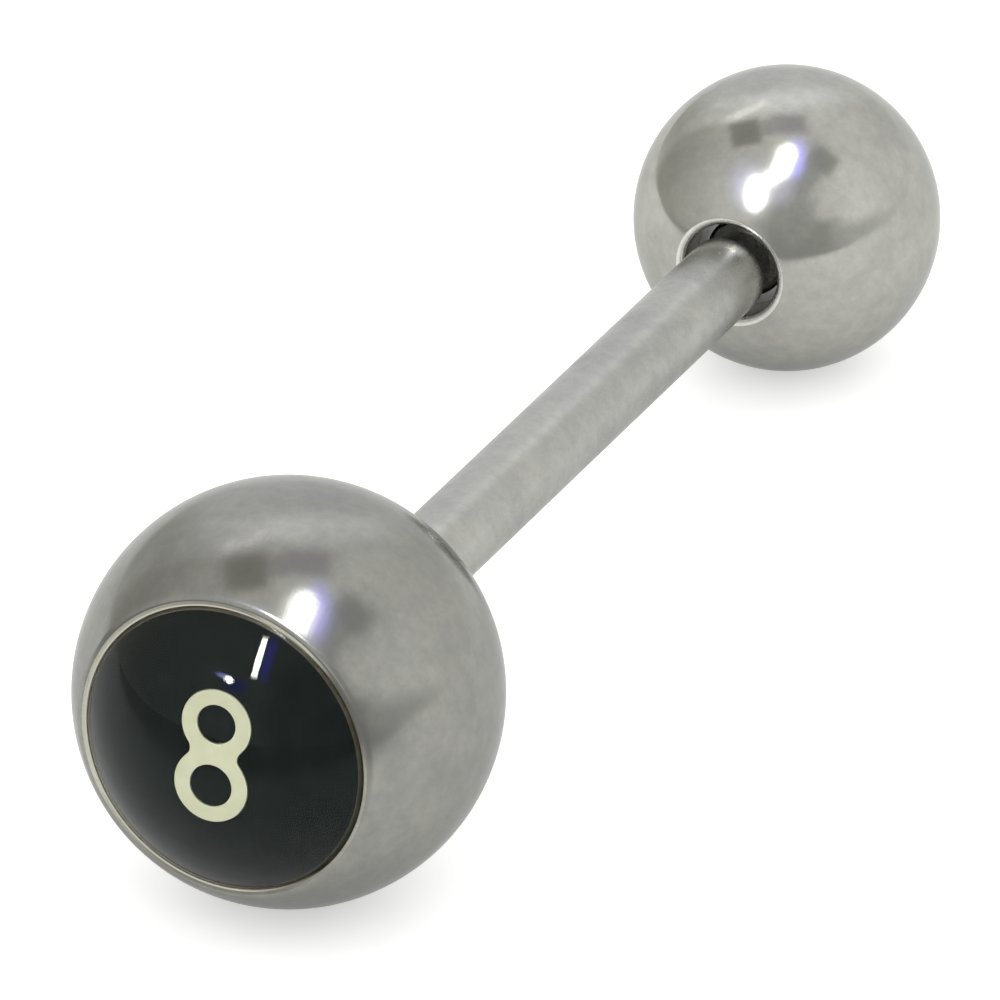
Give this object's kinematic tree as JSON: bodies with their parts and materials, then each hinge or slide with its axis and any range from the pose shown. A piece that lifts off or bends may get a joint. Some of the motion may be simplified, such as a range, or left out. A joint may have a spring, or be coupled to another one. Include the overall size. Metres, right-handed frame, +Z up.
{
  "type": "tongue barbell",
  "caption": "Steel tongue barbell: a straight bar with a large ball whose face has a domed black inlay with a pale numeral, and a smaller plain ball that unscrews.",
  "frame": {"origin": "middle of the part's outline on the ground, between the two balls that it lies on", "axes": "+Z up; +Y runs along the ground from the large inlaid ball to the small plain ball; +X to the right when looking along +Y at the inlay"},
  "size_m": [0.008, 0.0296, 0.008],
  "materials": {
    "steel": "polished to a soft satin shine",
    "steel_bar": "drawn and polished, soft shine",
    "black_inlay": "black printed face",
    "pale_numeral": "pale cream print",
    "clear_resin": "clear, wet gloss"
  },
  "bodies": {
    "barbell": {"front_ball": "steel", "inlay_disc": "black_inlay", "numeral": "pale_numeral", "resin_dome": "clear_resin", "bar": "steel_bar"},
    "screw_ball": {"rear_ball": "steel"}
  },
  "joints": [
    {"name": "rear_ball_off", "type": "slide", "parent": "barbell", "child": "screw_ball", "axis": [0, 0.999, -0.0438], "range_m": [0, 0.018]}
  ]
}
